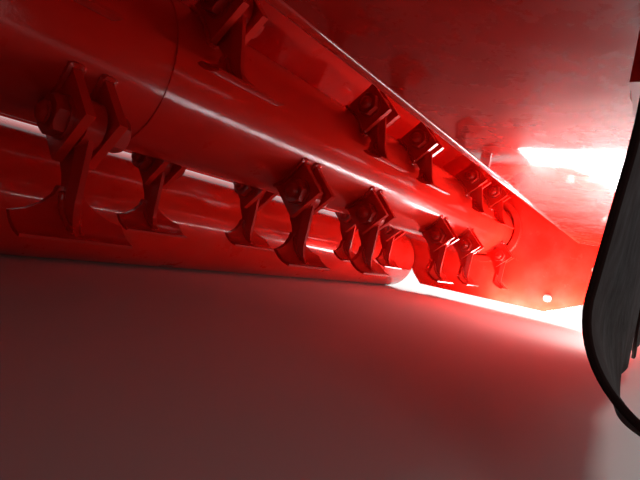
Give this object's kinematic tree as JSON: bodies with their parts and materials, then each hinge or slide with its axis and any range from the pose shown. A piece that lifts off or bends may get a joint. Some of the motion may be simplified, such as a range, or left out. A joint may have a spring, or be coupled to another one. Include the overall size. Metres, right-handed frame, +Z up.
{
  "type": "chopping unit of a stalk chopper",
  "caption": "Hooded flail rotor with scoop knives swung between lugs on a tube, a rear support roller, end plates with wear shoes, a rubber front curtain and parking legs.",
  "frame": {"origin": "on the ground under the middle of the unit's outline", "axes": "+X along the rotor, to the right for someone standing in front and looking at the unit, -Y the direction of travel, +Z up"},
  "size_m": [2.306, 1.0039, 0.71],
  "materials": {
    "red_paint": "glossy red enamel, lightly scuffed",
    "rotor_paint": "red enamel over the rotor, worn at the knife edges",
    "knife_paint": "red enamel, bare steel at the cutting edges",
    "shaft_steel": "turned bright steel",
    "bolt_steel": "bolt heads oversprayed with red",
    "bearing_iron": "dark grey painted casting",
    "zinc": "zinc plated",
    "flap_rubber": "black sheet rubber"
  },
  "bodies": {
    "housing": {"curtain_strip": "red_paint", "hood_shell": "red_paint", "front_plate": "red_paint", "front_cover": "red_paint", "end_plate_left": "red_paint", "end_plate_right": "red_paint", "guard_ring_left": "red_paint", "guard_ring_right": "red_paint", "wear_shoe_left": "red_paint", "wear_shoe_right": "red_paint", "roller_arm_left": "red_paint", "roller_arm_right": "red_paint", "leg_sleeve_left": "red_paint", "leg_sleeve_right": "red_paint", "carrier_beam": "red_paint", "hood_ribs": "red_paint", "drive_seat": "red_paint", "carrier_ears_left": "red_paint", "carrier_ears_right": "red_paint", "bearing_left": "bearing_iron", "bearing_right": "bearing_iron", "curtain_flaps": "flap_rubber"},
    "rotor": {"rotor_tube": "rotor_paint", "stub_shaft_left": "shaft_steel", "stub_shaft_right": "shaft_steel", "lugs_row_a": "rotor_paint", "lugs_row_b": "rotor_paint", "lugs_row_c": "rotor_paint", "lugs_row_d": "rotor_paint", "bolts_row_a": "bolt_steel", "bolts_row_b": "bolt_steel", "bolts_row_c": "bolt_steel", "bolts_row_d": "bolt_steel", "knives_row_a": "knife_paint", "knives_row_b": "knife_paint", "knives_row_c": "knife_paint", "knives_row_d": "knife_paint"},
    "roller": {"roller_tube": "red_paint", "roller_stubs": "shaft_steel"},
    "leg_left": {"leg_left": "zinc"},
    "leg_right": {"leg_right": "zinc"}
  },
  "joints": [
    {"name": "rotor_spin", "type": "hinge", "parent": "housing", "child": "rotor", "pos_m": [0, 0.081, 0.252], "axis": [1, 0, 0], "continuous": true},
    {"name": "roller_spin", "type": "hinge", "parent": "housing", "child": "roller", "pos_m": [0, 0.402, 0.1], "axis": [1, 0, 0], "continuous": true},
    {"name": "leg_left_slide", "type": "slide", "parent": "housing", "child": "leg_left", "axis": [0, 0, 1], "range_m": [0, 0.2]},
    {"name": "leg_right_slide", "type": "slide", "parent": "housing", "child": "leg_right", "axis": [0, 0, 1], "range_m": [0, 0.2]}
  ]
}
